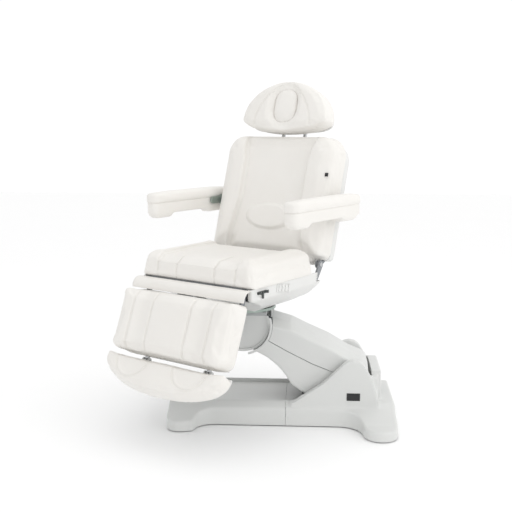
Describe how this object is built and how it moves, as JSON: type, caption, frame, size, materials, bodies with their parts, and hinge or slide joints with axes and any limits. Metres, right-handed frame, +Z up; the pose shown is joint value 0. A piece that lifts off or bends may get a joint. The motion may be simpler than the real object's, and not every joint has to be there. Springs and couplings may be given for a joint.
{
  "type": "facial treatment bed",
  "caption": "Electric treatment bed: padded seat, reclining back, headrest with face plug, leg and foot rest and armrests on a turntable and a covered lift arm.",
  "frame": {"origin": "on the floor under the swivel axis, at the middle levelling foot", "axes": "+Z up along the swivel axis; +Y along the base towards the lift tower; the seat, as stored, faces +X and -Y, turned 57.7 degrees from the base's front"},
  "size_m": [1.1479, 1.2228, 1.4914],
  "materials": {
    "steel_grey": "satin powder coat",
    "zinc": "zinc plated, brushed",
    "bright_steel": "ground bright",
    "cover_white": "moulded, semi-gloss",
    "pan_white": "moulded, semi-gloss",
    "leatherette": "coated upholstery cloth, satin",
    "rubber_black": "matt",
    "black_plastic": "matt",
    "dark_grey_plastic": "matt",
    "button_white": "gloss"
  },
  "bodies": {
    "base": {"base_frame": "steel_grey", "base_front_cover": "cover_white", "base_rear_cover": "cover_white", "levelling_feet": "rubber_black", "power_inlet": "black_plastic", "rating_plate": "black_plastic", "cover_screws": "cover_white", "control_box": "black_plastic"},
    "lift_arm": {"main_arm": "steel_grey", "lower_arm_cover": "cover_white", "pivot_pins": "bright_steel"},
    "upper_link": {"upper_link": "steel_grey", "upper_arm_cover": "cover_white"},
    "lift_motor": {"lift_actuator_housing": "black_plastic"},
    "lift_plunger": {"lift_actuator_rod": "bright_steel"},
    "head": {"head_housing": "steel_grey", "head_side_caps": "cover_white", "slewing_ring": "zinc"},
    "turntable": {"turntable": "black_plastic", "seat_bracket": "steel_grey"},
    "tilt_motor": {"tilt_actuator_housing": "black_plastic"},
    "tilt_plunger": {"tilt_actuator_rod": "bright_steel"},
    "seat": {"seat_frame": "steel_grey", "hinge_pins": "bright_steel", "seat_pan": "pan_white", "seat_cushion": "leatherette", "front_flap": "leatherette", "control_panel": "pan_white", "hand_control_hook": "dark_grey_plastic"},
    "recline_motor": {"recline_actuator_housing": "black_plastic"},
    "recline_plunger": {"recline_actuator_rod": "bright_steel"},
    "leg_motor": {"leg_actuator_housing": "black_plastic"},
    "leg_plunger": {"leg_actuator_rod": "bright_steel"},
    "backrest": {"back_frame": "steel_grey", "back_shell": "pan_white", "back_cushion": "leatherette"},
    "headrest_slide": {"headrest_rods": "bright_steel"},
    "headrest": {"headrest_shell": "pan_white", "headrest_cushion": "leatherette"},
    "face_plug": {"face_plug": "leatherette"},
    "armrest_carrier_left": {"armrest_bracket_left": "zinc"},
    "armrest_carrier_right": {"armrest_bracket_right": "zinc"},
    "armrest_left": {"armrest_shell_left": "pan_white", "armrest_pad_left": "leatherette"},
    "armrest_right": {"armrest_shell_right": "pan_white", "armrest_pad_right": "leatherette"},
    "leg_rest": {"leg_frame": "steel_grey", "leg_cushion": "leatherette"},
    "foot_slide": {"foot_frame": "bright_steel"},
    "foot_rest": {"foot_board": "pan_white", "foot_cushion": "leatherette"},
    "key_1": {"button_1": "button_white"},
    "key_2": {"button_2": "button_white"},
    "key_3": {"button_3": "button_white"},
    "key_4": {"button_4": "button_white"},
    "key_5": {"button_5": "button_white"},
    "key_6": {"button_6": "button_white"},
    "key_7": {"button_7": "button_white"},
    "key_8": {"button_8": "button_white"}
  },
  "joints": [
    {"name": "lift", "type": "hinge", "parent": "base", "child": "lift_arm", "pos_m": [0, 0.48, 0.18], "axis": [-1, 0, 0], "range_deg": [-13, 16]},
    {"name": "upper_link_turn", "type": "hinge", "parent": "base", "child": "upper_link", "pos_m": [0, 0.496, 0.209], "axis": [-1, 0, 0], "range_deg": [-13, 16]},
    {"name": "head_level", "type": "hinge", "parent": "lift_arm", "child": "head", "pos_m": [0, 0, 0.428], "axis": [-1, 0, 0], "range_deg": [-16, 13]},
    {"name": "lift_motor_turn", "type": "hinge", "parent": "base", "child": "lift_motor", "pos_m": [0, 0.4, 0.076], "axis": [-1, 0, 0], "range_deg": [-12.3, 15.09]},
    {"name": "lift_plunger_slide", "type": "slide", "parent": "lift_motor", "child": "lift_plunger", "axis": [0, -0.6733, 0.7393], "range_m": [-0.02948, 0.03616]},
    {"name": "swivel", "type": "hinge", "parent": "head", "child": "turntable", "pos_m": [0, 0, 0.485], "axis": [0, 0, 1], "range_deg": [-167.7, 52.3]},
    {"name": "seat_tilt", "type": "hinge", "parent": "turntable", "child": "seat", "pos_m": [-0.09298, 0.05878, 0.56], "axis": [-0.5344, -0.8453, 0], "range_deg": [0, 12]},
    {"name": "tilt_motor_turn", "type": "hinge", "parent": "turntable", "child": "tilt_motor", "pos_m": [-0.0169, 0.01069, 0.535], "axis": [-0.5344, -0.8453, 0], "range_deg": [-0.2, 15.6]},
    {"name": "tilt_plunger_slide", "type": "slide", "parent": "tilt_motor", "child": "tilt_plunger", "axis": [0.7897, -0.4992, 0.3567], "range_m": [-0.0005, 0.01376]},
    {"name": "recline", "type": "hinge", "parent": "seat", "child": "backrest", "pos_m": [-0.15637, 0.09885, 0.677], "axis": [-0.5344, -0.8453, 0], "range_deg": [0, 73.4]},
    {"name": "recline_motor_turn", "type": "hinge", "parent": "seat", "child": "recline_motor", "pos_m": [0.20068, -0.03813, 0.562], "axis": [-0.5344, -0.8453, 0], "range_deg": [-0.88, 0.2]},
    {"name": "recline_plunger_slide", "type": "slide", "parent": "recline_motor", "child": "recline_plunger", "axis": [-0.8331, 0.5267, 0.1691], "range_m": [-0.06708, 0.0005]},
    {"name": "leg_lift", "type": "hinge", "parent": "seat", "child": "leg_rest", "pos_m": [0.28147, -0.17794, 0.632], "axis": [-0.5344, -0.8453, 0], "range_deg": [-5, 67.8], "deforming": ["front_flap"]},
    {"name": "leg_motor_turn", "type": "hinge", "parent": "seat", "child": "leg_motor", "pos_m": [-0.09079, -0.03133, 0.582], "axis": [-0.5344, -0.8453, 0], "range_deg": [-1.2, 0.27]},
    {"name": "leg_plunger_slide", "type": "slide", "parent": "leg_motor", "child": "leg_plunger", "axis": [0.8452, -0.5343, 0.011], "range_m": [-0.00504, 0.06205]},
    {"name": "headrest_height", "type": "slide", "parent": "backrest", "child": "headrest_slide", "axis": [-0.2415, 0.1527, 0.9583], "range_m": [0, 0.1]},
    {"name": "headrest_tilt", "type": "hinge", "parent": "headrest_slide", "child": "headrest", "pos_m": [-0.33829, 0.21386, 1.28693], "axis": [-0.5344, -0.8453, 0], "range_deg": [0, 25]},
    {"name": "face_plug_pull", "type": "slide", "parent": "headrest", "child": "face_plug", "axis": [0.81, -0.5121, 0.2857], "range_m": [0, 0.1]},
    {"name": "armrest_left_level", "type": "hinge", "parent": "backrest", "child": "armrest_carrier_left", "pos_m": [-0.04241, 0.41013, 0.931], "axis": [-0.5344, -0.8453, 0], "range_deg": [-73.4, 0]},
    {"name": "armrest_left_lift", "type": "hinge", "parent": "armrest_carrier_left", "child": "armrest_left", "pos_m": [0.02798, 0.39047, 0.931], "axis": [-0.5344, -0.8453, 0], "range_deg": [0, 80]},
    {"name": "armrest_right_level", "type": "hinge", "parent": "backrest", "child": "armrest_carrier_right", "pos_m": [-0.38867, -0.13761, 0.931], "axis": [-0.5344, -0.8453, 0], "range_deg": [-73.4, 0]},
    {"name": "armrest_right_lift", "type": "hinge", "parent": "armrest_carrier_right", "child": "armrest_right", "pos_m": [-0.34073, -0.19276, 0.931], "axis": [-0.5344, -0.8453, 0], "range_deg": [0, 80]},
    {"name": "foot_extend", "type": "slide", "parent": "leg_rest", "child": "foot_slide", "axis": [0.3194, -0.2019, -0.9259], "range_m": [0, 0.12]},
    {"name": "foot_tilt", "type": "hinge", "parent": "foot_slide", "child": "foot_rest", "pos_m": [0.39209, -0.24787, 0.31926], "axis": [0.5344, 0.8453, 0], "range_deg": [0, 20]},
    {"name": "key_1_press", "type": "slide", "parent": "seat", "child": "key_1", "axis": [-0.5344, -0.8453, 0], "range_m": [0, 0.0015], "stiffness_N_per_m": 300},
    {"name": "key_2_press", "type": "slide", "parent": "seat", "child": "key_2", "axis": [-0.5344, -0.8453, 0], "range_m": [0, 0.0015], "stiffness_N_per_m": 300},
    {"name": "key_3_press", "type": "slide", "parent": "seat", "child": "key_3", "axis": [-0.5344, -0.8453, 0], "range_m": [0, 0.0015], "stiffness_N_per_m": 300},
    {"name": "key_4_press", "type": "slide", "parent": "seat", "child": "key_4", "axis": [-0.5344, -0.8453, 0], "range_m": [0, 0.0015], "stiffness_N_per_m": 300},
    {"name": "key_5_press", "type": "slide", "parent": "seat", "child": "key_5", "axis": [-0.5344, -0.8453, 0], "range_m": [0, 0.0015], "stiffness_N_per_m": 300},
    {"name": "key_6_press", "type": "slide", "parent": "seat", "child": "key_6", "axis": [-0.5344, -0.8453, 0], "range_m": [0, 0.0015], "stiffness_N_per_m": 300},
    {"name": "key_7_press", "type": "slide", "parent": "seat", "child": "key_7", "axis": [-0.5344, -0.8453, 0], "range_m": [0, 0.0015], "stiffness_N_per_m": 300},
    {"name": "key_8_press", "type": "slide", "parent": "seat", "child": "key_8", "axis": [-0.5344, -0.8453, 0], "range_m": [0, 0.0015], "stiffness_N_per_m": 300}
  ],
  "couplings": [
    {"joint": "upper_link_turn", "follows": "lift", "ratio": 1},
    {"joint": "head_level", "follows": "lift", "ratio": -1},
    {"joint": "lift_motor_turn", "follows": "lift", "ratio": 0.93063},
    {"joint": "lift_plunger_slide", "follows": "lift", "m_per_rad": 0.12771},
    {"joint": "tilt_motor_turn", "follows": "seat_tilt", "ratio": 1.2837},
    {"joint": "tilt_plunger_slide", "follows": "seat_tilt", "m_per_rad": 0.063319},
    {"joint": "recline_motor_turn", "follows": "recline", "ratio": -0.009271},
    {"joint": "recline_plunger_slide", "follows": "recline", "m_per_rad": -0.051973},
    {"joint": "leg_motor_turn", "follows": "leg_lift", "ratio": -0.014782},
    {"joint": "leg_plunger_slide", "follows": "leg_lift", "m_per_rad": 0.052011},
    {"joint": "armrest_left_level", "follows": "recline", "ratio": -1},
    {"joint": "armrest_right_level", "follows": "recline", "ratio": -1}
  ]
}
